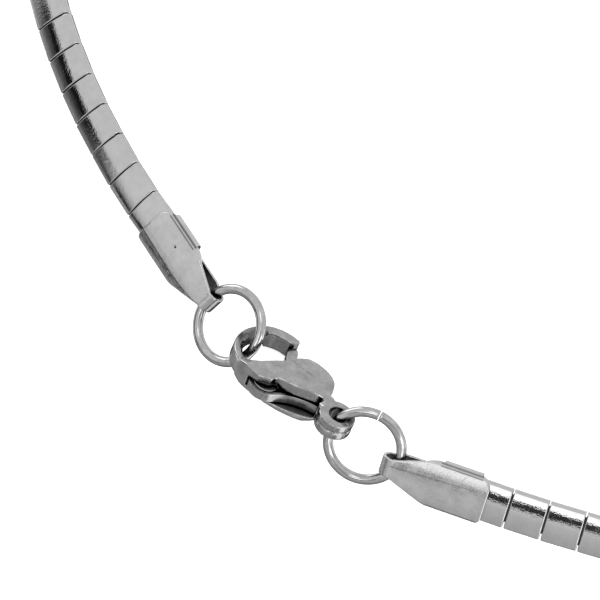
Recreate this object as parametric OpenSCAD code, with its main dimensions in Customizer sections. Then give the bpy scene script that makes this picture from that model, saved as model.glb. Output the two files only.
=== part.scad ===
// Rectangle link chain: domed steel plates strung on a flat core band as a closed
// loop, with two folded end caps, two jump rings and a lobster clasp.
// Millimetres. The surface it lies on is z = 0 and the clasp lies on the -Y side.

/* [Part] */
// Piece to draw, or all of them

/* [Chain] */
// Radius of the loop along the middle of the band
loop_radius = 71.4; // [71.3:0.05:71.5]
// Plates seen between the two caps
plate_count = 131; // [129:1:132]
// Slit between two plates at the inner edge of the loop
plate_slit = 0.15; // [0.12:0.01:0.2]
// Width of a plate across the band
plate_width = 3.55; // [3.5:0.05:3.6]
// Height of a plate from its lips to its crown
plate_height = 1.35; // [1.3:0.05:1.4]
// Thickness of the plate metal
plate_sheet = 0.35; // [0.3:0.05:0.4]
// Outward lean of the band's face
band_lean = 38; // [36:1:38]

/* [End caps] */
// Length of a cap from its mouth to its curled tip
cap_length = 9.2; // [9.1:0.1:9.3]
// Thickness of the cap metal
cap_sheet = 0.25; // [0.24:0.01:0.28]
// Width of the curled tip
cap_tip_width = 1.6; // [1.5:0.1:1.8]

/* [Jump rings] */
// Outside diameter of a ring
ring_diameter = 7; // [6.9:0.1:7.1]
// Diameter of the ring wire
ring_wire = 0.86; // [0.8:0.02:0.88]

/* [Clasp] */
// Thickness of the clasp through its body
clasp_thickness = 2.9; // [2.8:0.1:3]
// Thickness of the hook
hook_thickness = 1.6; // [1.5:0.1:1.7]
// Width of the slot that the lever moves in
slot_width = 1.1; // [1.05:0.05:1.2]
// Thickness of the lever
lever_thickness = 0.9; // [0.85:0.05:0.95]
// Angle that the lever is drawn open
lever_open = 0; // [0:1:20]

/* [Hidden] */
$fn = 96;
overlap = 0.4;
far = 40;
// Centres the box of the whole part on the origin
centre_shift = [0, 1.457, 0];

// Band: angles of the last seam seen before each cap, seen from above
left_seam_angle = 253.17;
right_seam_angle = 285.88;
plate_step = (360 - right_seam_angle + left_seam_angle) / plate_count;
inner_edge_radius = loop_radius - plate_width / 2 * cos(band_lean);
plate_length = inner_edge_radius * plate_step * PI / 180 - plate_slit;
plate_bottom = -0.35;
plate_middle = plate_bottom + plate_height / 2;
plate_corner = 0.55;
dome_radius = 7;
lip_gap = 1.5;
core_clear = 0.12;
core_corner = 0.12;
core_dome_room = 0.1;
core_step = 0.03;
core_joint = 0.3;
core_end_inside = 1.4;
band_height = 1.152;
front_lift = 0.471;
lift_angle = -asin(front_lift / 2 / loop_radius);
// The band runs straighter over its last stretch before the right cap
straight_angle = 295;
straight_radius = 167;
straight_inset = 0.12;
straight_middle = loop_radius - straight_radius - straight_inset;

// Caps
cap_clear = 0.06;
cap_wall = cap_sheet + cap_clear;
cap_width = plate_width + 2 * cap_wall;
cap_height = plate_height + 2 * cap_wall;
curl_outer = cap_height / 2;
curl_inner = curl_outer - cap_sheet;
curl_middle = cap_length - curl_outer;
cap_corner = plate_corner + cap_wall;
cap_outer_round = 0.7;
cap_inner_round = 1.1;
cap_tip_inner = 0.98;
taper_start = 4.6;
taper_end = 8.3;
wing_start = 0.35;
inner_wing_start = 0.85;
wing_end = 4.2;
return_start = 3.3;
back_gap = 1.1;
left_mouth_angle = 254.75;
right_mouth_angle = 284.35;
left_cap_turn = -2.1;
right_cap_turn = 0;
dimple_radius = 0.14;

// Rings
ring_mean = (ring_diameter - ring_wire) / 2;
split_angle = 2.4;
left_ring_place = [-7.948, -72.154, 2.095];
left_ring_turn = [0, 32.14, -116.06];
left_split = 284;
right_ring_place = [7.52, -73.018, 2.775];
right_ring_turn = [0, 44.04, -66.82];
right_split = 170;

// Clasp, in its own frame: x to the eye, y to the lever's side, z out of the front,
// measured from the middle of the hook
clasp_place = [-3.296, -72.416, 2.556];
clasp_turn = [-33.82, -4.03, 0.3];
hook_outer = 3.3;
hook_rim_outer = 3.26;
hook_rim_half = 0.64;
hook_rim_inner = 2.82;
hook_inner = 2.45;
hook_bevel_half = 0.42;
tip_inner = 2.42;
tip_outer = 3.38;
tip_angle = 70;
tip_join_angle = 134;
tip_end_point = [0.17, 2.4];
tip_end_slant = 63;
hook_end_angle = 256;
spine_middle = [1.16, 4.05];
spine_radius = 7.55;
bulge_middle = [3.67, -0.35];
bulge_radius = 2.56;
slot_middle = -0.2;
eye_middle = [7.76, -0.96];
eye_radius = 1.57;
eye_hole = 0.88;
eye_hole_shift = [0.14, 0.1];
eye_thickness = 1.5;
eye_groove = 0.14;
crown_line = -0.6;
crown_radius = 11;
pivot = [1.55, -2.62];
pin_radius = 0.35;
pin_half = 0.95;
pin_press_gap = 0.02;
pin_running_gap = 0.05;
hub_radius = 1.08;
hub_room = 1.56;
spring_inner = 1.2;
spring_sheet = 0.24;
spring_width = 0.8;
spring_from = 150;
spring_leave = 328;
spring_leg_radius = 5;
spring_leg_end = 101;

module rounded_box(wide, high, corner) {
    square([wide - 2 * corner, high], center = true);
    square([wide, high - 2 * corner], center = true);
    for (side = [-1, 1], level = [-1, 1])
        translate([side * (wide / 2 - corner), level * (high / 2 - corner)])
            circle(corner);
}

// Outline of the band's section, grown by a margin: a box with round corners
// under a shallow dome
module band_outline(margin) {
    intersection() {
        translate([0, plate_middle])
            rounded_box(
                plate_width + 2 * margin, plate_height + 2 * margin,
                plate_corner + margin
            );
        translate([0, plate_bottom + plate_height - dome_radius])
            circle(dome_radius + margin, $fn = 240);
    }
}

// Carries a section in the x-z plane along +y
module along_y(from, to) {
    translate([0, to, 0])
        rotate([90, 0, 0])
            linear_extrude(height = to - from)
                children();
}

// The band's own frame: the loop lies with its front a little higher
module band_frame() {
    translate([0, 0, band_height + front_lift / 2] + centre_shift)
        rotate([lift_angle, 0, 0])
            children();
}

// Local frame at an angle of the loop: x across the band and outwards, y along it
// towards rising angles, z out of its face
module at_angle(angle) {
    beyond = max(0, straight_angle - angle) * loop_radius / straight_radius;
    rotate([0, 0, max(angle, straight_angle)])
        translate([beyond > 0 ? straight_middle : loop_radius - straight_radius, 0, 0])
            rotate([0, 0, -beyond])
                translate([straight_radius, 0, 0])
                    rotate([0, band_lean, 0])
                        children();
}

module left_cap_frame() {
    band_frame()
        at_angle(left_mouth_angle + 360)
            rotate([0, 0, left_cap_turn])
                children();
}

module right_cap_frame() {
    band_frame()
        at_angle(right_mouth_angle)
            mirror([0, 1, 0])
                rotate([0, 0, right_cap_turn])
                    children();
}

module plate_section() {
    difference() {
        band_outline(0);
        band_outline(-plate_sheet);
        translate([0, plate_bottom])
            square([lip_gap, 2 * plate_sheet + overlap], center = true);
    }
}

module plates() {
    color("silver")
        band_frame()
            for (index = [-1 : plate_count])
                at_angle(right_seam_angle + (index + 0.5) * plate_step)
                    along_y(-plate_length / 2, plate_length / 2)
                        plate_section();
}

module core_section(radius, clear) {
    wide = plate_width - 2 * plate_sheet - 2 * clear;
    high = plate_height - 2 * plate_sheet - 2 * clear - core_dome_room;
    translate([radius, 0])
        rotate(-band_lean)
            translate([0, plate_middle - core_dome_room / 2])
                rounded_box(wide, high, core_corner);
}

module core_band() {
    last = left_mouth_angle + core_end_inside + 360;
    bend = (straight_angle - right_mouth_angle + core_end_inside)
        * loop_radius / straight_radius;
    color("dimgray")
        band_frame()
            rotate([0, 0, straight_angle]) {
                rotate_extrude(angle = last - straight_angle, $fn = 360)
                    core_section(loop_radius, core_clear);
                translate([straight_middle, 0, 0])
                    rotate([0, 0, -bend])
                        rotate_extrude(angle = bend + core_joint, $fn = 720)
                            core_section(straight_radius, core_clear + core_step);
            }
}

// Outline of a cap from above; the inner side of the loop is at -x
module cap_plan() {
    half = cap_width / 2;
    tip = cap_tip_width - cap_tip_inner;
    polygon([
        [cap_inner_round - half, 0], [half - cap_outer_round, 0], [half, cap_outer_round],
        [half, taper_start], [tip, taper_end], [tip, cap_length + 1],
        [-cap_tip_inner, cap_length + 1], [-cap_tip_inner, taper_end],
        [-half, taper_start], [-half, cap_inner_round]
    ]);
    translate([half - cap_outer_round, cap_outer_round])
        circle(cap_outer_round);
    translate([cap_inner_round - half, cap_inner_round])
        circle(cap_inner_round);
}

module cap_shell_section() {
    difference() {
        band_outline(cap_wall);
        band_outline(cap_clear);
    }
}

// Side wings and the lips that they fold under the band
module cap_wings() {
    side_top = plate_bottom + plate_height - 0.45;
    difference() {
        along_y(wing_start, wing_end)
            intersection() {
                cap_shell_section();
                translate([-far / 2, side_top - far])
                    square([far, far]);
            }
        translate([-back_gap / 2, wing_start - overlap, -far])
            cube([back_gap, return_start - wing_start + 2 * overlap, far]);
        translate([-far, wing_start - overlap, -far / 2])
            cube([far, inner_wing_start - wing_start + overlap, far]);
    }
}

module cap_blank() {
    intersection() {
        union() {
            along_y(0, curl_middle)
                intersection() {
                    cap_shell_section();
                    translate([-far / 2, plate_bottom + plate_height - 0.5])
                        square([far, far]);
                }
            cap_wings();
            translate([
                -cap_width / 2 + cap_corner, return_start, plate_middle - curl_outer
            ])
                cube([cap_width - 2 * cap_corner, curl_middle - return_start, cap_sheet]);
            translate([0, curl_middle, plate_middle])
                rotate([0, 90, 0])
                    intersection() {
                        difference() {
                            cylinder(r = curl_outer, h = cap_width, center = true);
                            cylinder(r = curl_inner, h = cap_width + 1, center = true);
                        }
                        translate([-far / 2, 0, -far / 2])
                            cube([far, far, far]);
                    }
        }
        translate([0, 0, -far / 2])
            linear_extrude(height = far)
                cap_plan();
    }
}

module end_cap_left() {
    color("gainsboro")
        left_cap_frame()
            difference() {
                cap_blank();
                translate([-0.65, 3.15, plate_bottom + plate_height + cap_wall + 0.03])
                    sphere(r = dimple_radius, $fn = 24);
            }
}

module end_cap_right() {
    color("gainsboro")
        right_cap_frame()
            cap_blank();
}

module jump_ring(place, turn, split) {
    translate(place + centre_shift)
        rotate(turn)
            rotate([0, 0, split])
                rotate_extrude(angle = 360 - split_angle, $fn = 120)
                    translate([ring_mean, 0])
                        circle(r = ring_wire / 2, $fn = 32);
}

module jump_ring_left() {
    color("lightgray")
        jump_ring(left_ring_place, left_ring_turn, left_split);
}

module jump_ring_right() {
    color("lightgray")
        jump_ring(right_ring_place, right_ring_turn, right_split);
}

module clasp_frame() {
    translate(clasp_place + centre_shift)
        rotate(clasp_turn)
            children();
}

// Half thickness of the body along its length: thin at the hook, full over the
// slot, thin again at the eye
function smooth(t) = let (s = max(0, min(1, t))) s * s * (3 - 2 * s);
function half_at(x) =
    hook_thickness / 2
    + (clasp_thickness - hook_thickness) / 2 * smooth((x + 1.7) / 2.6)
    - (clasp_thickness - eye_thickness) / 2 * smooth((x - 4.9) / 2.3);

module side_profile() {
    steps = [for (x = [-3.4 : 0.4 : 10.2]) x];
    polygon(concat(
        [for (x = steps) [x, half_at(x)]],
        [for (i = [len(steps) - 1 : -1 : 0]) [steps[i], -half_at(steps[i])]]
    ));
}

module body_plan() {
    intersection() {
        translate(spine_middle)
            circle(spine_radius, $fn = 240);
        union() {
            difference() {
                translate(bulge_middle)
                    circle(bulge_radius);
                polygon([
                    [0.5, -0.9], [1.25, -0.9], [1.7, 0.48], [1.98, 1.09], [2.42, 1.84],
                    [2.6, 3], [0.5, 3]
                ]);
            }
            polygon([
                [-1.2, -4.5], [-1.2, -2.5], [-0.67, -2.6], [0.17, -2.15], [1.4, -0.5],
                [5.6, -0.2], [6.55, 0.2], [7.1, -0.3], [7.6, -1.0], [7.6, -4.5]
            ]);
        }
    }
}

module slot_plan() {
    translate(pivot)
        circle(hub_room);
    polygon([
        [0.9, -5], [6.15, -5], [6.15, -0.75], [5.6, 0.2], [5.05, 1.05], [5.05, 3.2],
        [1.75, 3.2], [1.0, -0.7], [0.5, -1.6]
    ]);
}

// The front cheek is cut back along the spine, so the spring shows
module front_window_plan() {
    polygon([
        [0.9, -5], [6.15, -5], [6.15, -0.75], [5.6, -1.15], [4.1, -1.95], [2.7, -2.35],
        [2.25, -2.5], [2.05, -3.0], [1.5, -3.3], [0.9, -3.55]
    ]);
}

// The hook: a bevelled bow from the spine round the front of the clasp
module hook_bow() {
    half = hook_thickness / 2;
    rotate([0, 0, tip_join_angle])
        rotate_extrude(angle = hook_end_angle - tip_join_angle)
            polygon([
                [hook_inner, -hook_bevel_half], [hook_rim_inner, -half],
                [hook_rim_outer, -half], [hook_outer, -hook_rim_half],
                [hook_outer, hook_rim_half], [hook_rim_outer, half],
                [hook_rim_inner, half], [hook_inner, hook_bevel_half]
            ]);
    difference() {
        rotate([0, 0, tip_angle])
            rotate_extrude(angle = tip_join_angle - tip_angle + 2)
                translate([tip_inner, -half])
                    square([tip_outer - tip_inner, hook_thickness]);
        translate(tip_end_point)
            rotate([0, 0, tip_end_slant])
                translate([-far / 2, -far, -far / 2])
                    cube([far, far, far]);
    }
}

// The domed cut of a face: the front face for 1, the back for -1
module crown(side) {
    translate([3, crown_line, side * (clasp_thickness / 2 - crown_radius)])
        rotate([0, 90, 0])
            cylinder(r = crown_radius, h = far, center = true, $fn = 240);
}

module clasp_body() {
    bore = pin_radius + pin_press_gap;
    color("darkgray")
        clasp_frame()
            difference() {
                union() {
                    hook_bow();
                    intersection() {
                        linear_extrude(height = clasp_thickness + 1, center = true)
                            body_plan();
                        rotate([90, 0, 0])
                            linear_extrude(height = far, center = true)
                                side_profile();
                        crown(1);
                        crown(-1);
                    }
                    translate(eye_middle)
                        cylinder(r = eye_radius, h = eye_thickness, center = true);
                }
                translate(eye_middle + eye_hole_shift)
                    cylinder(r = eye_hole, h = far, center = true);
                translate(eye_middle)
                    rotate_extrude()
                        translate([eye_radius, 0])
                            square([2 * eye_groove, eye_groove], center = true);
                translate([0, 0, slot_middle])
                    linear_extrude(height = slot_width, center = true)
                        slot_plan();
                linear_extrude(height = clasp_thickness)
                    front_window_plan();
                translate([pivot[0], pivot[1], slot_middle / 2])
                    cylinder(r = bore, h = 2 * (pin_half + pin_press_gap), center = true);
            }
}

module lever_frame() {
    clasp_frame()
        translate([pivot[0], pivot[1], slot_middle])
            rotate([0, 0, -lever_open])
                translate(-pivot)
                    children();
}

module lever_arm() {
    polygon([
        [2.25, -2.6], [2.4, -1.9], [2.35, -1.2], [2.65, 0.6], [3.12, 2.3], [3.05, 2.9],
        [2.75, 3.0], [2.45, 2.85], [2.2, 2.1], [1.9, 1.8], [1.45, 1.95], [1.15, 2.6],
        [0.75, 2.95], [0.56, 2.9], [0.28, 2.32], [0.36, 2.0], [0.95, 1.0], [0.8, -0.4],
        [0.8, -1.9], [0.95, -2.6]
    ]);
}

module clasp_lever() {
    color("silver")
        lever_frame()
            difference() {
                union() {
                    linear_extrude(height = lever_thickness, center = true)
                        lever_arm();
                    translate(pivot)
                        cylinder(r = hub_radius, h = lever_thickness, center = true);
                }
                translate(pivot)
                    cylinder(r = pin_radius + pin_running_gap, h = far, center = true);
            }
}

module clasp_pin() {
    color("gray")
        clasp_frame()
            translate([pivot[0], pivot[1], slot_middle / 2])
                cylinder(r = pin_radius, h = 2 * pin_half, center = true);
}

// Flat spring: wrapped round the lever's hub, then sweeping back to the eye end
module clasp_spring() {
    turn = spring_inner + spring_sheet / 2 + spring_leg_radius;
    color("lightgray")
        clasp_frame()
            translate([pivot[0], pivot[1], slot_middle]) {
                spring_arc(spring_inner, spring_from, spring_leave);
                translate(turn * [cos(spring_leave), sin(spring_leave)])
                    spring_arc(
                        spring_leg_radius - spring_sheet / 2,
                        spring_leg_end, spring_leave - 180
                    );
            }
}

// A bent piece of the spring strip between two angles
module spring_arc(inner, from, to) {
    rotate([0, 0, from])
        rotate_extrude(angle = to - from)
            translate([inner, -spring_width / 2])
                square([spring_sheet, spring_width]);
}

plates();
core_band();
end_cap_left();
end_cap_right();
jump_ring_left();
jump_ring_right();
clasp_body();
clasp_lever();
clasp_pin();
clasp_spring();
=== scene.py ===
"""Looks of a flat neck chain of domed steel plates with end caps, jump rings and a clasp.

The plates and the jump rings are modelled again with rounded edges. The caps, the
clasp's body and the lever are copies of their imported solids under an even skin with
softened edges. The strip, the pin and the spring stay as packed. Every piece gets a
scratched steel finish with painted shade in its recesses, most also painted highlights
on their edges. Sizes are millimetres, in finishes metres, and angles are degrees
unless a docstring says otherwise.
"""

import logging
import math
import random
from dataclasses import dataclass, field, replace
from enum import Enum
from typing import Any

import bmesh
import bpy
from mathutils import Euler, Matrix, Vector


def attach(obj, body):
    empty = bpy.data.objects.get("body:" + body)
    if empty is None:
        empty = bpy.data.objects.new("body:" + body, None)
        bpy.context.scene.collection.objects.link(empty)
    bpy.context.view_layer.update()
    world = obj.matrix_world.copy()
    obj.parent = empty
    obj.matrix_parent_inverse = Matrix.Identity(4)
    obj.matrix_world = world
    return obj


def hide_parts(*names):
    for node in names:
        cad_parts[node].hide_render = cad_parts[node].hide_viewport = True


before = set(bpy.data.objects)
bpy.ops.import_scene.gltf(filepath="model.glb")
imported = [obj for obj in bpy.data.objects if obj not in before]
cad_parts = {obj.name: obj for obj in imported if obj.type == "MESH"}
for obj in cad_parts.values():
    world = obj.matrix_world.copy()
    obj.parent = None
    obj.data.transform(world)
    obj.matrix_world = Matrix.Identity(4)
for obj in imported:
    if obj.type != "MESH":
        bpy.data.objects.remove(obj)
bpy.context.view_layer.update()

log = logging.getLogger("chain")

MM = 0.001
# From the loop's own centre to the middle of the part, in millimetres.
CENTRE_SHIFT = Vector((0, 1.457, 0))
PICTURE_PIXELS = 600

# Attributes that carry a pattern's place: on the plates, and in a cap's own frame.
GRAIN = "grain"
SHEET = "sheet"

# How the three sets of scratches lie, and how much they add to the roughness.
SCRATCH_TURNS = (12.0, 71.0, 143.0)
SCRATCH_TILT = (0.3, 0.5)
SCRATCH_DEPTH_COUNT = 1000.0
SCRATCH_ROUGHNESS = 0.35

# Where a mask starts and ends its fade, as shares of the pattern that drives it.
SMUDGE_FADE = (0.3, 0.7)
ROUGH_FADE = (0.35, 0.9)
SCRATCH_FADE = (0.66, 0.74)
# Fade of the painted shade in recesses, over the ambient occlusion.
PAINTED_SHADE_FADE = (0.4, 0.92)
# Fade of the painted highlight on edges, over the inward occlusion.
PAINTED_HIGHLIGHT_FADE = (0.62, 0.88)
PIT_FADE = (0.0, 0.35)

# What a shader node's input takes.
Value = bpy.types.NodeSocket | float


class Body(Enum):
    """The moving groups of the part."""

    CHAIN = "chain"
    LEVER = "lever"


class Slot(Enum):
    """The record's material slots, which the soft copies hold but never give to a material."""

    PLATE = "plate_steel"
    CORE = "core_steel"
    CAP = "cap_steel"
    RING = "ring_steel"
    CLASP = "clasp_steel"
    SPRING = "spring_steel"


def scaled(point: Vector) -> Vector:
    """Returns a point given in millimetres as metres."""
    return point * MM


def arc(centre: Vector, radius: float, start: float, end: float, steps: int) -> list[Vector]:
    """Points of a circular arc in the x-z plane, ends included.

    Args:
        centre: Middle of the circle.
        radius: Radius of the circle.
        start: First angle from +x towards +z, in degrees.
        end: Last angle, in degrees.
        steps: Number of straight pieces.

    Returns:
        The points from the first angle to the last.
    """
    points = []
    for step in range(steps + 1):
        angle = math.radians(start + (end - start) * step / steps)
        points.append(centre + radius * Vector((math.cos(angle), 0, math.sin(angle))))
    return points


def add_object(name: str, bm: bmesh.types.BMesh) -> bpy.types.Object:
    """Writes a bmesh to a new smooth-shaded object and frees it.

    Args:
        name: Name of the object and its mesh.
        bm: The finished shape, in metres.

    Returns:
        The linked object.
    """
    mesh = bpy.data.meshes.new(name)
    bm.to_mesh(mesh)
    bm.free()
    for face in mesh.polygons:
        face.use_smooth = True
    piece = bpy.data.objects.new(name, mesh)
    bpy.context.scene.collection.objects.link(piece)
    return piece


def even_normals(piece: bpy.types.Object) -> None:
    """Lets the large faces of a piece set its shading, so that flats stay flat.

    Args:
        piece: The finished object.
    """
    weighted = piece.modifiers.new("even_normals", "WEIGHTED_NORMAL")
    weighted.mode = "FACE_AREA"
    weighted.weight = 100


def mount(
    piece: bpy.types.Object, body: Body, finish: bpy.types.Material, nodes: list[str]
) -> None:
    """Puts a finished piece on its body in the place of its CAD nodes.

    Args:
        piece: The finished object.
        body: Body that it moves with.
        finish: Its material.
        nodes: CAD nodes that it stands for.
    """
    piece.data.materials.clear()
    piece.data.materials.append(finish)
    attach(piece, body.value)
    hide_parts(*nodes)
    log.info("%s: %d faces on body %s", piece.name, len(piece.data.polygons), body.value)


class NodeBoard:
    """A short way to place and join shader nodes in one tree."""

    def __init__(self, tree: bpy.types.NodeTree) -> None:
        """Starts with an empty tree."""
        self.tree = tree
        tree.nodes.clear()

    def add(
        self, kind: str, inputs: dict[str | int, Any] | None = None, **settings: Any
    ) -> bpy.types.Node:
        """Adds a node.

        Args:
            kind: Blender's name of the node type.
            inputs: Values or sockets by input name or number.
            **settings: Properties of the node.

        Returns:
            The new node.
        """
        node = self.tree.nodes.new(kind)
        for key, value in settings.items():
            setattr(node, key, value)
        for key, value in (inputs or {}).items():
            if isinstance(value, bpy.types.NodeSocket):
                self.tree.links.new(value, node.inputs[key])
            else:
                node.inputs[key].default_value = value
        return node

    def math(self, operation: str, *values: Value) -> bpy.types.NodeSocket:
        """Returns the result of a Math node with these inputs."""
        node = self.add("ShaderNodeMath", dict(enumerate(values)), operation=operation)
        return node.outputs[0]

    def span(
        self, value: Value, low: float, high: float, to_low: float, to_high: float
    ) -> bpy.types.NodeSocket:
        """Carries a value smoothly from one range to another.

        Args:
            value: The value.
            low: Value that becomes to_low.
            high: Value that becomes to_high.
            to_low: Result at and below low.
            to_high: Result at and above high.

        Returns:
            The result's socket.
        """
        node = self.add(
            "ShaderNodeMapRange",
            {0: value, 1: low, 2: high, 3: to_low, 4: to_high},
            interpolation_type="SMOOTHSTEP",
        )
        return node.outputs[0]

    def scale(self, colour: bpy.types.NodeSocket, factor: Value) -> bpy.types.NodeSocket:
        """Returns a colour times a number."""
        inputs = {0: colour, "Scale": factor}
        return self.add("ShaderNodeVectorMath", inputs, operation="SCALE").outputs[0]

    def blend(self, factor: Value, low: Value, high: Value) -> bpy.types.NodeSocket:
        """Returns a mix of two numbers."""
        node = self.add("ShaderNodeMix", {0: factor, 2: low, 3: high}, data_type="FLOAT")
        return node.outputs[0]


@dataclass(frozen=True)
class Steel:
    """A polished steel finish with scratches and pits, painted shade in its recesses and painted
    highlights on its edges.

    Heights and reaches are metres, and counts are features per metre.
    """

    name: str
    dark: tuple[float, float, float]
    light: tuple[float, float, float]
    rough_low: float
    rough_high: float
    wave_height: float
    wave_count: float
    scratch_height: float
    scratch_count: float
    scratch_stretch: float
    pit_height: float
    pit_count: float
    pit_share: float
    grain_height: float = 0.0000012
    grain_count: float = 5500.0
    # Painted shade in recesses, found by ambient occlusion within a reach.
    painted_shade: float = 0.5
    painted_shade_reach: float = 0.0003
    # Painted highlights on convex edges, found by ambient occlusion inside the solid.
    painted_highlight: float = 0.0
    painted_highlight_reach: float = 0.00013
    attribute: str = ""

    def build(self) -> bpy.types.Material:
        """Makes the material from nodes.

        Returns:
            The material.
        """
        material = bpy.data.materials.new(self.name)
        material.use_nodes = True
        board = NodeBoard(material.node_tree)
        place = self.coordinates(board)
        smudge = board.add(
            "ShaderNodeTexNoise",
            {"Vector": place, "Scale": self.wave_count / 2, "Detail": 4.0, "Roughness": 0.6},
        )
        scratch = self.scratches(board, place)
        tone = board.add("ShaderNodeValToRGB", {0: smudge.outputs[0]})
        stops = zip(tone.color_ramp.elements, SMUDGE_FADE, (self.dark, self.light))
        for stop, position, shade in stops:
            stop.position = position
            stop.color = (*shade, 1)
        # Painted shade in recesses and painted highlights on edges, over the tone.
        colour = self.paint_shade_and_highlights(board, tone.outputs[0])
        worn = board.math("MULTIPLY_ADD", scratch, SCRATCH_ROUGHNESS, smudge.outputs[0])
        rough = board.span(worn, *ROUGH_FADE, self.rough_low, self.rough_high)
        relief = self.relief(board, place, scratch)
        shader = board.add(
            "ShaderNodeBsdfPrincipled",
            {
                "Base Color": colour,
                "Metallic": 1.0,
                "Roughness": rough,
                "Normal": relief,
            },
        )
        board.add("ShaderNodeOutputMaterial", {0: shader.outputs[0]})
        return material

    def paint_shade_and_highlights(self, board: NodeBoard, tone: bpy.types.NodeSocket) -> bpy.types.NodeSocket:
        """Darkens the recesses with painted shade and brightens the edges with painted highlights.

        Args:
            board: The material's nodes.
            tone: Socket with the clean colour.

        Returns:
            The colour with its painted shade and highlights.
        """
        # Painted shade where the ambient occlusion finds a recess.
        open_sky = board.add(
            "ShaderNodeAmbientOcclusion", {"Distance": self.painted_shade_reach}, samples=6
        )
        share = board.span(open_sky.outputs["AO"], *PAINTED_SHADE_FADE, 1 - self.painted_shade, 1.0)
        colour = board.scale(tone, share)
        if self.painted_highlight:
            # Painted highlight where the inward occlusion finds a convex edge.
            depth = board.add(
                "ShaderNodeAmbientOcclusion", {"Distance": self.painted_highlight_reach}, samples=8, inside=True
            )
            edge = board.span(depth.outputs["AO"], *PAINTED_HIGHLIGHT_FADE, 1 + self.painted_highlight, 1.0)
            colour = board.scale(colour, edge)
        return colour

    def coordinates(self, board: NodeBoard) -> bpy.types.NodeSocket:
        """Finds the place that the patterns follow.

        Args:
            board: The material's nodes.

        Returns:
            The piece's own attribute if it has one, or else its place in object space.
        """
        if self.attribute:
            node = board.add("ShaderNodeAttribute", attribute_name=self.attribute)
            return node.outputs["Vector"]
        return board.add("ShaderNodeTexCoord").outputs["Object"]

    def scratches(self, board: NodeBoard, place: bpy.types.NodeSocket) -> bpy.types.NodeSocket:
        """Draws fine crossing scratches.

        Args:
            board: The material's nodes.
            place: Socket with the pattern's place.

        Returns:
            A socket that is 1 on a scratch and 0 beside it.
        """
        total = None
        along = self.scratch_count / self.scratch_stretch
        for turn in SCRATCH_TURNS:
            turned = board.add(
                "ShaderNodeMapping",
                {
                    "Vector": place,
                    "Rotation": (*SCRATCH_TILT, math.radians(turn)),
                    "Scale": (self.scratch_count, along, SCRATCH_DEPTH_COUNT),
                },
            )
            noise = board.add(
                "ShaderNodeTexNoise", {"Vector": turned.outputs[0], "Scale": 1.0, "Detail": 1.0}
            )
            line = board.span(noise.outputs[0], *SCRATCH_FADE, 0.0, 1.0)
            total = line if total is None else board.math("MAXIMUM", total, line)
        return total

    def relief(
        self, board: NodeBoard, place: bpy.types.NodeSocket, scratch: bpy.types.NodeSocket
    ) -> bpy.types.NodeSocket:
        """Shapes the surface's waves, grain, scratches and pits.

        Args:
            board: The material's nodes.
            place: Socket with the pattern's place.
            scratch: Socket with the scratch mask.

        Returns:
            The normal socket for the shader.
        """
        wave = board.add(
            "ShaderNodeTexNoise", {"Vector": place, "Scale": self.wave_count, "Detail": 3.0}
        )
        cells = board.add("ShaderNodeTexVoronoi", {"Vector": place, "Scale": self.pit_count})
        picked = board.add("ShaderNodeSeparateColor", {0: cells.outputs["Color"]})
        chosen = board.math("LESS_THAN", picked.outputs[0], self.pit_share)
        hollow = board.span(cells.outputs["Distance"], *PIT_FADE, 1.0, 0.0)
        pit = board.math("MULTIPLY", chosen, hollow)
        normal = board.add(
            "ShaderNodeBump",
            {"Strength": 1.0, "Distance": self.wave_height, "Height": wave.outputs[0]},
        )
        grain = board.add(
            "ShaderNodeTexNoise", {"Vector": place, "Scale": self.grain_count, "Detail": 2.0}
        )
        marks = (
            (self.grain_height, grain.outputs[0]),
            (self.scratch_height, scratch),
            (self.pit_height, pit),
        )
        for height, mask in marks:
            normal = board.add(
                "ShaderNodeBump",
                {"Strength": 1.0, "Distance": height, "Height": mask, "Normal": normal.outputs[0]},
                invert=True,
            )
        return normal.outputs[0]


@dataclass(frozen=True)
class ShadeLine:
    """A painted dark line along a cap, standing for the shade and dark reflections along its folds
    and curves, in millimetres of the cap's own frame.

    The line runs from start to end along the cap, and its place across shifts by slope
    for each millimetre.
    """

    across: float
    slope: float
    start: float
    end: float
    depth: float


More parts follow.
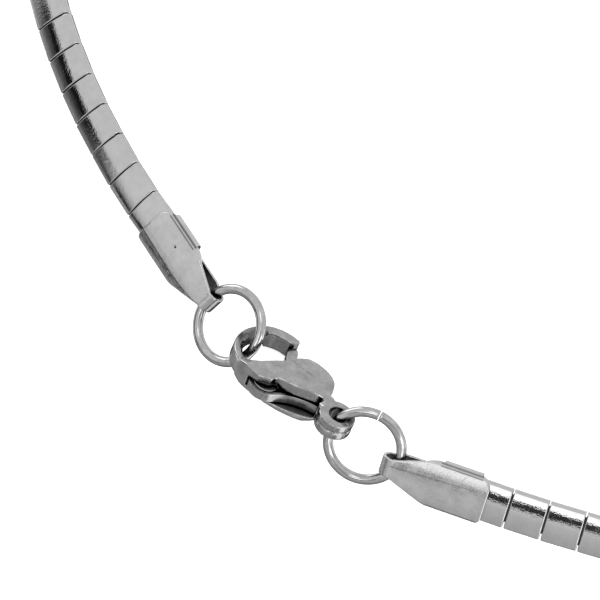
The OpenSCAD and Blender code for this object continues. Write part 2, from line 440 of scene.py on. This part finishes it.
@dataclass(frozen=True)
class CapSteel(Steel):
    """The caps' finish, with painted shade along the folds and curves, in the dent and over the
    tip.

    Places are millimetres in the cap's own frame, which the piece carries as an
    attribute. A fade's two ends are shares of the size that it blurs.
    """

    # Painted shade: dark lines along the folds and curves, a spot in the dent and a fade over the
    # tip.
    shade_lines: tuple[ShadeLine, ...] = ()
    shade_line_half_width: float = 0.035
    shade_line_fade: tuple[float, float] = (0.6, 1.8)
    dent_across: float = -0.65
    dent_along: float = 3.2
    dent_shade_radius: float = 0.0
    dent_shade_fade: tuple[float, float] = (0.7, 1.2)
    tip_start: float = 8.7
    tip_end: float = 8.9
    tip_shade: float = 0.0

    def paint_shade_and_highlights(self, board: NodeBoard, tone: bpy.types.NodeSocket) -> bpy.types.NodeSocket:
        """Adds painted shade along the folds and curves, in the dent and over the tip, to the
        painted shade and highlights of every steel.

        Args:
            board: The material's nodes.
            tone: Socket with the clean colour.

        Returns:
            The stained colour.
        """
        colour = super().paint_shade_and_highlights(board, tone)
        sheet = board.add("ShaderNodeAttribute", attribute_name=SHEET)
        parts = board.add("ShaderNodeSeparateXYZ", {0: sheet.outputs["Vector"]})
        across, along, height = parts.outputs
        cap_shade = 0.0
        clear, faded = (share * self.shade_line_half_width * MM for share in self.shade_line_fade)
        # Painted dark lines of shade and dark reflection along the folds and curves.
        for crease in self.shade_lines:
            middle = board.math("MULTIPLY_ADD", along, crease.slope, crease.across * MM)
            aside = board.math("ABSOLUTE", board.math("SUBTRACT", across, middle))
            line = board.span(aside, clear, faded, crease.depth, 0.0)
            after = board.math("GREATER_THAN", along, crease.start * MM)
            before = board.math("LESS_THAN", along, crease.end * MM)
            line = board.math("MULTIPLY", line, board.math("MULTIPLY", after, before))
            cap_shade = board.math("MAXIMUM", cap_shade, line)
        # Painted shade in the dent, as a dark round spot.
        if self.dent_shade_radius:
            left = board.math("SUBTRACT", across, self.dent_across * MM)
            down = board.math("SUBTRACT", along, self.dent_along * MM)
            square = board.math("MULTIPLY", left, left)
            away = board.math("SQRT", board.math("MULTIPLY_ADD", down, down, square))
            clear, faded = (share * self.dent_shade_radius * MM for share in self.dent_shade_fade)
            dent_shade = board.span(away, clear, faded, 1.0, 0.0)
            cap_shade = board.math("MAXIMUM", cap_shade, dent_shade)
        # Painted shade over the front of the tip's curl.
        if self.tip_shade:
            front = board.span(
                along, self.tip_start * MM, self.tip_end * MM, 0.0, self.tip_shade
            )
            cap_shade = board.math("MAXIMUM", cap_shade, front)
        outer_face = board.math("GREATER_THAN", height, 0.0)
        cap_shade = board.math("MULTIPLY", cap_shade, outer_face)
        return board.scale(colour, board.math("SUBTRACT", 1.0, cap_shade))


@dataclass
class ChainLoop:
    """The closed loop that carries the plates, in millimetres and degrees."""

    radius: float = 71.4
    lean: float = 38.0
    height: float = 1.152
    front_lift: float = 0.471
    straight_angle: float = 295.0
    straight_radius: float = 167.0
    straight_inset: float = 0.12
    left_seam: float = 253.17
    right_seam: float = 285.88
    plate_count: int = 131
    left_mouth: float = 254.75
    right_mouth: float = 284.35
    left_cap_turn: float = -2.1

    @property
    def step(self) -> float:
        """Angle between two plates."""
        return (360 - self.right_seam + self.left_seam) / self.plate_count

    def place(self, angle: float) -> Matrix:
        """Place on the band at an angle of the loop.

        Args:
            angle: Angle seen from above, counted from +x.

        Returns:
            A matrix to the frame with x across the band and z out of its face.
        """
        beyond = max(0.0, self.straight_angle - angle) * self.radius / self.straight_radius
        middle = self.radius - self.straight_radius
        if beyond > 0:
            middle -= self.straight_inset
        tilt = -math.asin(self.front_lift / 2 / self.radius)
        lift = CENTRE_SHIFT + Vector((0, 0, self.height + self.front_lift / 2))
        return (
            Matrix.Translation(lift)
            @ Matrix.Rotation(tilt, 4, "X")
            @ Matrix.Rotation(math.radians(max(angle, self.straight_angle)), 4, "Z")
            @ Matrix.Translation((middle, 0, 0))
            @ Matrix.Rotation(math.radians(-beyond), 4, "Z")
            @ Matrix.Translation((self.straight_radius, 0, 0))
            @ Matrix.Rotation(math.radians(self.lean), 4, "Y")
        )

    def left_cap_place(self) -> Matrix:
        """Returns the left cap's frame, with y from its mouth to its tip."""
        turn = Matrix.Rotation(math.radians(self.left_cap_turn), 4, "Z")
        return self.place(360 + self.left_mouth) @ turn

    def right_cap_place(self) -> Matrix:
        """Returns the right cap's frame, mirrored so that y runs to its tip too."""
        return self.place(self.right_mouth) @ Matrix.Scale(-1, 4, (0, 1, 0))


@dataclass
class Plates:
    """The domed plates, bent like a flat C, in millimetres.

    Each plate has a small turn of its own, in degrees, held below a limit in radians.
    """

    loop: ChainLoop = field(default_factory=ChainLoop)
    width: float = 3.55
    height: float = 1.35
    sheet: float = 0.35
    slit: float = 0.08
    bottom: float = -0.35
    corner: float = 0.55
    dome: float = 7.0
    lip_gap: float = 1.5
    edge: float = 0.11
    ridge: float = 0.05
    corner_cut: float = 0.05
    corner_reach: float = 0.28
    play_scale: float = 0.988
    play_turn: float = 0.45
    play_limit: float = 0.012
    seed: int = 7

    @property
    def length(self) -> float:
        """Length of a plate along the band."""
        inner = self.loop.radius - self.width / 2 * math.cos(math.radians(self.loop.lean))
        return inner * math.radians(self.loop.step) - self.slit

    def half_outline(self, inset: float, corner_steps: int, dome_steps: int) -> list[Vector]:
        """Right half of the section, from its lip over the side to the crown.

        Args:
            inset: Distance inwards from the outside of the sheet.
            corner_steps: Straight pieces of the lower corner.
            dome_steps: Straight pieces of half the dome.

        Returns:
            Points in the x-z plane.
        """
        round_by = self.corner - inset
        dome = self.dome - inset
        top = self.bottom + self.height
        middle_x = self.width / 2 - self.corner
        dome_middle = Vector((0, 0, top - self.dome))
        low = Vector((middle_x, 0, self.bottom + self.corner))
        high = Vector((middle_x, 0, top - self.corner))
        # The dome's circle meets the upper corner's circle at the crease.
        away = high - dome_middle
        apart = away.length
        along = (dome**2 - round_by**2 + apart**2) / (2 * apart)
        side = math.sqrt(max(0.0, dome**2 - along**2))
        across = Vector((away.z, 0, -away.x)) / apart
        crease = dome_middle + away * (along / apart) + across * side
        crease_turn = math.degrees(math.atan2(crease.z - high.z, crease.x - high.x))
        dome_turn = math.degrees(math.atan2(crease.z - dome_middle.z, crease.x))
        ridge_turn = math.degrees(self.ridge / round_by)
        dome_ridge_turn = math.degrees(self.ridge / dome)
        points = [Vector((self.lip_gap / 2, 0, self.bottom + inset))]
        points += arc(low, round_by, -90, 0, corner_steps)
        points += arc(high, round_by, 0, crease_turn - ridge_turn, max(1, corner_steps - 1))
        points += arc(dome_middle, dome, dome_turn + dome_ridge_turn, 90, dome_steps)
        return points

    def blank(self) -> bpy.types.Mesh:
        """Builds one plate round the origin, along y.

        Returns:
            A mesh in millimetres with rounded ends.
        """
        right = self.half_outline(0.0, corner_steps=2, dome_steps=3)
        inner = self.half_outline(self.sheet, corner_steps=1, dome_steps=1)
        left = [Vector((-p.x, 0, p.z)) for p in reversed(right[:-1])]
        inner_left = [Vector((-p.x, 0, p.z)) for p in inner[:-1]]
        section = right + left + inner_left + inner[::-1]
        bm = bmesh.new()
        start = Vector((0, -self.length / 2, 0))
        corners = [bm.verts.new(point + start) for point in section]
        face = bm.faces.new(corners)
        swept = bmesh.ops.extrude_face_region(bm, geom=[face], use_keep_orig=True)
        moved = [v for v in swept["geom"] if isinstance(v, bmesh.types.BMVert)]
        bmesh.ops.translate(bm, vec=(0, self.length, 0), verts=moved)
        bmesh.ops.recalc_face_normals(bm, faces=bm.faces)
        outside = {(round(p.x, 5), round(p.z, 5)) for p in right + left}
        ends = [
            edge
            for edge in bm.edges
            if abs(edge.verts[0].co.y - edge.verts[1].co.y) < self.slit / 10
            and all((round(v.co.x, 5), round(v.co.z, 5)) in outside for v in edge.verts)
            and all(v.co.z > self.bottom + self.sheet for v in edge.verts)
        ]
        bmesh.ops.bevel(
            bm, geom=ends, offset=self.edge, affect="EDGES", segments=2, profile=0.5, material=-1
        )
        mesh = bpy.data.meshes.new("plate_blank")
        bm.to_mesh(mesh)
        bm.free()
        return mesh

    def fan(self, vert: bmesh.types.BMVert, angle: float) -> None:
        """Moves an end of a plate so that its slit is even and its corners are eased.

        Args:
            vert: Vertex of the blank, in millimetres.
            angle: The plate's place on the loop.
        """
        bend = math.radians(self.loop.step)
        if angle < self.loop.straight_angle:
            bend *= self.loop.radius / self.loop.straight_radius
        lean = math.radians(self.loop.lean)
        spot = vert.co
        out = (spot.x + self.width / 2) * math.cos(lean) + max(0, spot.z) * math.sin(lean)
        grown = out * bend / 2
        near = max(0.0, abs(spot.x) - self.width / 2 + self.corner_reach) / self.corner_reach
        grown -= self.corner_cut * near**2
        spot.y += math.copysign(grown, spot.y)

    def build(self, finish: bpy.types.Material) -> bpy.types.Object:
        """Strings the plates round the loop as one piece.

        Args:
            finish: Material of the plates.

        Returns:
            The finished piece.
        """
        chance = random.Random(self.seed)
        blank = self.blank()
        bm = bmesh.new()
        grain = bm.verts.layers.float_vector.new(GRAIN)
        middle = Vector((0, 0, self.bottom + self.height / 2))
        for index in range(-1, self.loop.plate_count + 1):
            known = len(bm.verts)
            bm.from_mesh(blank)
            bm.verts.ensure_lookup_table()
            fresh = bm.verts[known:]
            angle = self.loop.right_seam + (index + 0.5) * self.loop.step
            shift = Vector([chance.uniform(-1, 1) for _ in range(3)])
            for vert in fresh:
                vert[grain] = scaled(vert.co) + shift
                self.fan(vert, angle)
            turns = [math.radians(chance.gauss(0, self.play_turn)) for _ in range(3)]
            turns = [max(-self.play_limit, min(self.play_limit, turn)) for turn in turns]
            play = (
                Matrix.Translation(middle)
                @ Euler(turns).to_matrix().to_4x4()
                @ Matrix.Diagonal((self.play_scale, 1, self.play_scale, 1))
                @ Matrix.Translation(-middle)
            )
            place = self.loop.place(angle)
            bmesh.ops.transform(bm, matrix=Matrix.Scale(MM, 4) @ place @ play, verts=fresh)
        bpy.data.meshes.remove(blank)
        piece = add_object("domed_plates", bm)
        even_normals(piece)
        mount(piece, Body.CHAIN, finish, ["plates"])
        return piece


@dataclass
class JumpRing:
    """A round wire ring with a butt split, in millimetres and degrees."""

    name: str
    node: str
    place: Vector
    turn: tuple[float, float, float]
    split: float
    outside: float = 7.0
    wire: float = 0.86
    split_angle: float = 1.7
    edge: float = 0.05
    wire_sides: int = 28
    ring_steps: int = 110

    def build(self, finish: bpy.types.Material) -> bpy.types.Object:
        """Spins a disc round as the wire, which leaves the disc at both ends.

        Args:
            finish: Material of the ring.

        Returns:
            The finished piece.
        """
        mean = (self.outside - self.wire) / 2
        bm = bmesh.new()
        upright = Matrix.Translation((mean, 0, 0)) @ Matrix.Rotation(math.radians(90), 4, "X")
        disc = bmesh.ops.create_circle(
            bm, cap_ends=True, radius=self.wire / 2, segments=self.wire_sides, matrix=upright
        )
        first = disc["verts"][0].link_faces[0]
        bmesh.ops.spin(
            bm,
            geom=[first],
            cent=(0, 0, 0),
            axis=(0, 0, 1),
            angle=math.radians(360 - self.split_angle),
            steps=self.ring_steps,
            use_duplicate=False,
        )
        bmesh.ops.recalc_face_normals(bm, faces=bm.faces)
        rims = [e for f in bm.faces if len(f.verts) == self.wire_sides for e in f.edges]
        bmesh.ops.bevel(
            bm, geom=rims, offset=self.edge, affect="EDGES", segments=2, profile=0.5, material=-1
        )
        turned = Euler([math.radians(angle) for angle in self.turn]).to_matrix().to_4x4()
        opened = Matrix.Rotation(math.radians(self.split), 4, "Z")
        whole = Matrix.Scale(MM, 4) @ Matrix.Translation(self.place + CENTRE_SHIFT)
        bmesh.ops.transform(bm, matrix=whole @ turned @ opened, verts=bm.verts)
        piece = add_object(self.name, bm)
        even_normals(piece)
        mount(piece, Body.CHAIN, finish, [self.node])
        return piece


@dataclass
class SoftCopy:
    """A copy of a solid under an even skin with softened edges, in millimetres.

    The skin is a grid of cells, smoothed a number of passes.
    """

    name: str
    node: str
    body: Body
    slot: Slot
    cell: float
    passes: int
    sheet_place: Matrix | None = None
    weld: float = 0.0005

    def build(self, finish: bpy.types.Material) -> bpy.types.Object:
        """Copies the solid, lays the skin over it and softens its edges.

        Args:
            finish: Material of the piece.

        Returns:
            The finished piece.
        """
        bm = bmesh.new()
        bm.from_mesh(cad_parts[self.node].data)
        bmesh.ops.scale(bm, vec=(1 / MM, 1 / MM, 1 / MM), verts=bm.verts)
        bmesh.ops.remove_doubles(bm, verts=bm.verts, dist=self.weld)
        rough = add_object(f"{self.name}_rough", bm)
        skin = rough.modifiers.new("skin", "REMESH")
        skin.mode = "VOXEL"
        skin.voxel_size = self.cell
        graph = bpy.context.evaluated_depsgraph_get()
        even = bpy.data.meshes.new_from_object(rough.evaluated_get(graph))
        bpy.data.objects.remove(rough)
        bm = bmesh.new()
        bm.from_mesh(even)
        bpy.data.meshes.remove(even)
        for _ in range(self.passes):
            bmesh.ops.smooth_vert(
                bm, verts=bm.verts, factor=0.5, use_axis_x=True, use_axis_y=True, use_axis_z=True
            )
        if self.sheet_place:
            sheet = bm.verts.layers.float_vector.new(SHEET)
            back = self.sheet_place.inverted()
            for vert in bm.verts:
                vert[sheet] = scaled(back @ vert.co)
        bmesh.ops.scale(bm, vec=(MM, MM, MM), verts=bm.verts)
        bmesh.ops.recalc_face_normals(bm, faces=bm.faces)
        piece = add_object(self.name, bm)
        mount(piece, self.body, finish, [self.node])
        return piece


@dataclass(frozen=True)
class Panel:
    """A patch of the studio tent, by direction from the chain, in degrees.

    The light grows or fades evenly from its low edge to its high edge.
    """

    azimuth: float
    half_width: float
    low: float
    high: float
    level: float
    top_level: float
    side_soft: float = 3.0
    low_soft: float = 2.0
    high_soft: float = 2.0


@dataclass
class Studio:
    """The pale floor, the tent of light and the camera.

    The floor is in metres and the camera's place in millimetres. A panel covers the
    panels listed before it.
    """

    floor_radius: float = 3.0
    floor_level: float = -0.00003
    floor_tint: float = 0.8
    floor_glow: float = 0.75
    camera_place: Vector = field(default_factory=lambda: Vector((49.862, -129.303, 233.878)))
    camera_target: Vector = field(default_factory=lambda: Vector((-5.42, -64.573, 0)))
    focal_pixels: float = 2948.0
    sensor: float = 36.0
    base: float = 1.05
    panels: tuple[Panel, ...] = (
        # At and below the horizon, in place of the floor's reflection.
        Panel(265, 76, -90, -1, 0.34, 0.62, side_soft=8),
        Panel(165, 24, -60, -4, 1.2, 1.0, side_soft=6),
        Panel(0, 34, -40, -1, 1.8, 2.2, side_soft=6),
        Panel(211, 8, -26, -10, 1.9, 1.6),
        Panel(308, 9, -12, 3, 0.9, 1.0),
        Panel(0, 180, -90, -50, 0.05, 0.1, side_soft=1, high_soft=8),
        # In front, seen in the faces of the plates and in the right strand's dark line.
        Panel(252, 14, 3, 48, 0.66, 0.9),
        Panel(283, 21, -2, 40, 0.66, 0.92),
        Panel(283, 21, 31, 40, 0.95, 1.05, low_soft=1.5, high_soft=1),
        Panel(283, 22, 37.6, 49, 0.02, 0.1, low_soft=0.8, high_soft=1),
        Panel(283, 22, 49, 58, 2.6, 2.6, low_soft=1, high_soft=1.5),
        Panel(283, 22, 58, 78, 2.2, 1.4, low_soft=1.5, high_soft=4),
        Panel(271, 5, 8, 38, 1.15, 1.2),
        # On the left, seen in the left strand's dark side.
        Panel(237, 17, -1, 7.5, 0.01, 0.02, side_soft=5, low_soft=1.5, high_soft=1.2),
        Panel(228, 7, 5, 16, 0.3, 0.95, side_soft=4),
        Panel(218, 10, -12, 7, 0.6, 0.03, side_soft=3),
        Panel(217, 10, 6, 19, 0.02, 0.01, side_soft=3, low_soft=3, high_soft=1),
        Panel(184, 9, 6, 26, 0.12, 0.2),
        Panel(159, 18, 2, 26, 3.2, 3.2),
        # On the right and overhead, seen in rounded edges and in the wire of the rings.
        Panel(325, 24, 38, 66, 0.6, 0.6, low_soft=4, high_soft=4),
        Panel(322, 10, 8, 20, 3.2, 3.2, high_soft=3),
        Panel(350, 20, 16, 34, 3.2, 3.2, low_soft=2, high_soft=2),
        Panel(0, 180, 80, 90, 2.6, 2.6, side_soft=1, low_soft=3),
    )

    def place_camera(self) -> None:
        """Puts the camera where the picture was taken from."""
        data = bpy.data.cameras.new("camera")
        data.sensor_width = self.sensor
        data.lens = self.focal_pixels / PICTURE_PIXELS * self.sensor
        data.clip_start = 0.01
        data.clip_end = 20
        camera = bpy.data.objects.new("camera", data)
        bpy.context.scene.collection.objects.link(camera)
        forward = self.camera_target - self.camera_place
        camera.location = scaled(self.camera_place)
        camera.rotation_euler = forward.to_track_quat("-Z", "Y").to_euler()
        bpy.context.scene.camera = camera

    def lay_floor(self) -> None:
        """Lays the lit floor, which the steel mirrors only as a part of the tent."""
        bm = bmesh.new()
        bmesh.ops.create_circle(
            bm,
            cap_ends=True,
            radius=self.floor_radius,
            segments=64,
            matrix=Matrix.Translation((0, 0, self.floor_level)),
        )
        floor = add_object("floor", bm)
        floor.visible_glossy = False
        material = bpy.data.materials.new("floor")
        material.use_nodes = True
        matt = {
            "Base Color": (self.floor_tint, self.floor_tint, self.floor_tint, 1),
            "Roughness": 0.9,
            "Specular IOR Level": 0.0,
            "Emission Color": (1, 1, 1, 1),
            "Emission Strength": self.floor_glow,
        }
        for name, value in matt.items():
            material.node_tree.nodes["Principled BSDF"].inputs[name].default_value = value
        floor.data.materials.append(material)

    def mask(
        self, board: NodeBoard, around: Value, height: Value, panel: Panel
    ) -> bpy.types.NodeSocket:
        """Finds where a panel hangs.

        Args:
            board: The world's nodes.
            around: Socket with the direction's azimuth, in degrees.
            height: Socket with the direction's height above the horizon, in degrees.
            panel: The panel.

        Returns:
            A socket that is 1 inside the panel and 0 outside.
        """
        aside = board.math("SUBTRACT", around, panel.azimuth)
        aside = board.math("ABSOLUTE", board.math("WRAP", aside, 180.0, -180.0))
        width, soft = panel.half_width, panel.side_soft
        inside = board.span(aside, width - soft, width + soft, 1.0, 0.0)
        low, soft = panel.low, panel.low_soft
        above = board.span(height, low - soft, low + soft, 0.0, 1.0)
        high, soft = panel.high, panel.high_soft
        below = board.span(height, high - soft, high + soft, 1.0, 0.0)
        return board.math("MULTIPLY", inside, board.math("MULTIPLY", above, below))

    def hang_tent(self) -> None:
        """Lights the scene with the tent's panels, and shows a plain white to the camera."""
        world = bpy.data.worlds.new("tent")
        world.use_nodes = True
        bpy.context.scene.world = world
        board = NodeBoard(world.node_tree)
        direction = board.add("ShaderNodeTexCoord").outputs["Generated"]
        parts = board.add("ShaderNodeSeparateXYZ", {0: direction})
        height = board.math("DEGREES", board.math("ARCSINE", parts.outputs[2]))
        around = board.math("ARCTAN2", parts.outputs[1], parts.outputs[0])
        around = board.math("DEGREES", around)
        level = self.base
        for panel in self.panels:
            light = panel.level
            if panel.top_level != panel.level:
                spread = {0: height, 1: panel.low, 2: panel.high, 3: light, 4: panel.top_level}
                light = board.add("ShaderNodeMapRange", spread).outputs[0]
            level = board.blend(self.mask(board, around, height, panel), level, light)
        white = (1, 1, 1, 1)
        tent = board.add("ShaderNodeBackground", {"Color": white, "Strength": level})
        plain = board.add("ShaderNodeBackground", {"Color": white, "Strength": 1.0})
        seen = board.add("ShaderNodeLightPath").outputs["Is Camera Ray"]
        shown = board.add("ShaderNodeMixShader", {0: seen, 1: tent.outputs[0], 2: plain.outputs[0]})
        board.add("ShaderNodeOutputWorld", {0: shown.outputs[0]})

    def build(self) -> None:
        """Sets up floor, light and camera."""
        self.place_camera()
        self.lay_floor()
        self.hang_tent()
        view = bpy.context.scene.view_settings
        view.view_transform = "Standard"
        log.info("studio: %d panels", len(self.panels))


PLATE_STEEL = Steel(
    name="plate_polish",
    dark=(0.44, 0.44, 0.445),
    light=(0.50, 0.50, 0.50),
    rough_low=0.03,
    rough_high=0.09,
    wave_height=0.000007,
    wave_count=1700.0,
    scratch_height=0.0000006,
    scratch_count=9000.0,
    scratch_stretch=30.0,
    pit_height=0.000002,
    pit_count=4000.0,
    pit_share=0.03,
    attribute=GRAIN,
    grain_height=0.0000065,
    # Painted shade in the slits, and painted highlights on the plates' edges.
    painted_shade=0.3,
    grain_count=7000.0,
    painted_highlight=0.6,
    painted_highlight_reach=0.0001,
)
CORE_STEEL = Steel(
    name="core_strip",
    # Near black, a painted shade for the slits between the plates, where the strip shows.
    dark=(0.10, 0.10, 0.10),
    light=(0.18, 0.18, 0.18),
    rough_low=0.35,
    rough_high=0.55,
    wave_height=0.00001,
    wave_count=2000.0,
    scratch_height=0.000002,
    scratch_count=6000.0,
    scratch_stretch=20.0,
    pit_height=0.000002,
    pit_count=4000.0,
    pit_share=0.05,
)
LEFT_CAP_STEEL = CapSteel(
    name="left_cap_polish",
    dark=(0.42, 0.42, 0.425),
    light=(0.52, 0.52, 0.52),
    rough_low=0.12,
    rough_high=0.22,
    wave_height=0.000008,
    wave_count=1800.0,
    scratch_height=0.0000008,
    scratch_count=8000.0,
    scratch_stretch=14.0,
    pit_height=0.000006,
    pit_count=5000.0,
    pit_share=0.06,
    grain_height=0.000004,
    # Painted shade in recesses, and painted highlights on the edges.
    painted_shade=0.8,
    painted_highlight=0.5,
    grain_count=6500.0,
    # Painted dark lines along the folds, standing for their shade and dark reflection.
    shade_lines=(
        ShadeLine(across=-1.84, slope=0.0, start=0.75, end=4.4, depth=0.7),
        ShadeLine(across=-2.01, slope=0.0, start=0.75, end=4.4, depth=0.7),
        ShadeLine(across=0.93, slope=0.045, start=0.0, end=4.8, depth=0.75),
        ShadeLine(across=1.71, slope=-0.118, start=4.8, end=8.6, depth=0.75),
    ),
    # Painted shade in the dent.
    dent_shade_radius=0.1,
    # Painted shade over the front of the tip's curl.
    tip_shade=0.3,
    # Reach of the painted shade in recesses.
    painted_shade_reach=0.0005,
)
RIGHT_CAP_STEEL = replace(
    LEFT_CAP_STEEL,
    name="right_cap_polish",
    rough_low=0.24,
    rough_high=0.36,
    grain_height=0.000006,
    # Painted dark lines along the folds and a curve, standing for their shade and dark reflection.
    shade_lines=(
        ShadeLine(across=-1.84, slope=0.0, start=0.75, end=4.4, depth=0.55),
        ShadeLine(across=-2.01, slope=0.0, start=0.75, end=4.4, depth=0.55),
        ShadeLine(across=-0.83, slope=0.048, start=1.2, end=8.4, depth=0.4),
    ),
    # No painted shade in the dent, nor over the tip.
    dent_shade_radius=0.0,
    tip_shade=0.0,
)
RING_STEEL = Steel(
    name="ring_polish",
    dark=(0.34, 0.34, 0.345),
    light=(0.47, 0.47, 0.47),
    rough_low=0.03,
    rough_high=0.08,
    wave_height=0.000006,
    wave_count=2500.0,
    scratch_height=0.000001,
    scratch_count=9000.0,
    scratch_stretch=12.0,
    pit_height=0.000004,
    pit_count=5000.0,
    pit_share=0.04,
)
CLASP_STEEL = Steel(
    name="clasp_casting",
    dark=(0.26, 0.26, 0.265),
    light=(0.40, 0.40, 0.40),
    rough_low=0.08,
    rough_high=0.18,
    wave_height=0.000005,
    wave_count=2200.0,
    scratch_height=0.000002,
    scratch_count=6000.0,
    scratch_stretch=10.0,
    pit_height=0.00002,
    pit_count=3500.0,
    pit_share=0.05,
    grain_height=0.000003,
    # Painted shade in recesses, deep into the hook, and painted highlights on the edges.
    painted_shade=0.85,
    painted_shade_reach=0.003,
    painted_highlight=0.7,
)
SPRING_STEEL = Steel(
    name="spring_strip",
    dark=(0.26, 0.26, 0.26),
    light=(0.40, 0.40, 0.40),
    rough_low=0.16,
    rough_high=0.3,
    wave_height=0.000006,
    wave_count=3000.0,
    scratch_height=0.000004,
    scratch_count=9000.0,
    scratch_stretch=25.0,
    pit_height=0.000003,
    pit_count=5000.0,
    pit_share=0.03,
    # Painted shade in recesses, and painted highlights on the edges.
    painted_shade=0.9,
    painted_shade_reach=0.0008,
    painted_highlight=0.5,
)


def dress_node(name: str, finish: bpy.types.Material) -> None:
    """Gives a CAD node that stays its finish.

    Args:
        name: Name of the node.
        finish: Its material.
    """
    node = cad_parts[name]
    node.data.materials.clear()
    node.data.materials.append(finish)
    log.info("%s: kept as packed", name)


def main() -> None:
    """Builds every piece in order and reports it."""
    logging.basicConfig(level=logging.INFO, format="%(message)s")
    Studio().build()
    Plates().build(PLATE_STEEL.build())
    dress_node("core_band", CORE_STEEL.build())
    ring_finish = RING_STEEL.build()
    JumpRing(
        name="left_ring",
        node="jump_ring_left",
        place=Vector((-7.948, -72.154, 2.095)),
        turn=(0, 32.14, -116.06),
        split=284,
    ).build(ring_finish)
    JumpRing(
        name="right_ring",
        node="jump_ring_right",
        place=Vector((7.52, -73.018, 2.775)),
        turn=(0, 44.04, -66.82),
        split=170,
    ).build(ring_finish)
    loop = ChainLoop()
    caps = (
        ("left", loop.left_cap_place(), LEFT_CAP_STEEL),
        ("right", loop.right_cap_place(), RIGHT_CAP_STEEL),
    )
    for side, place, finish in caps:
        SoftCopy(
            name=f"{side}_cap",
            node=f"end_cap_{side}",
            body=Body.CHAIN,
            slot=Slot.CAP,
            cell=0.05,
            passes=5,
            sheet_place=place,
        ).build(finish.build())
    clasp_finish = CLASP_STEEL.build()
    SoftCopy(
        name="clasp_casting",
        node="clasp_body",
        body=Body.CHAIN,
        slot=Slot.CLASP,
        cell=0.058,
        passes=9,
    ).build(clasp_finish)
    SoftCopy(
        name="lever",
        node="clasp_lever",
        body=Body.LEVER,
        slot=Slot.CLASP,
        cell=0.05,
        passes=8,
    ).build(clasp_finish)
    dress_node("clasp_pin", clasp_finish)
    dress_node("clasp_spring", SPRING_STEEL.build())


if __name__ == "__main__":
    main()
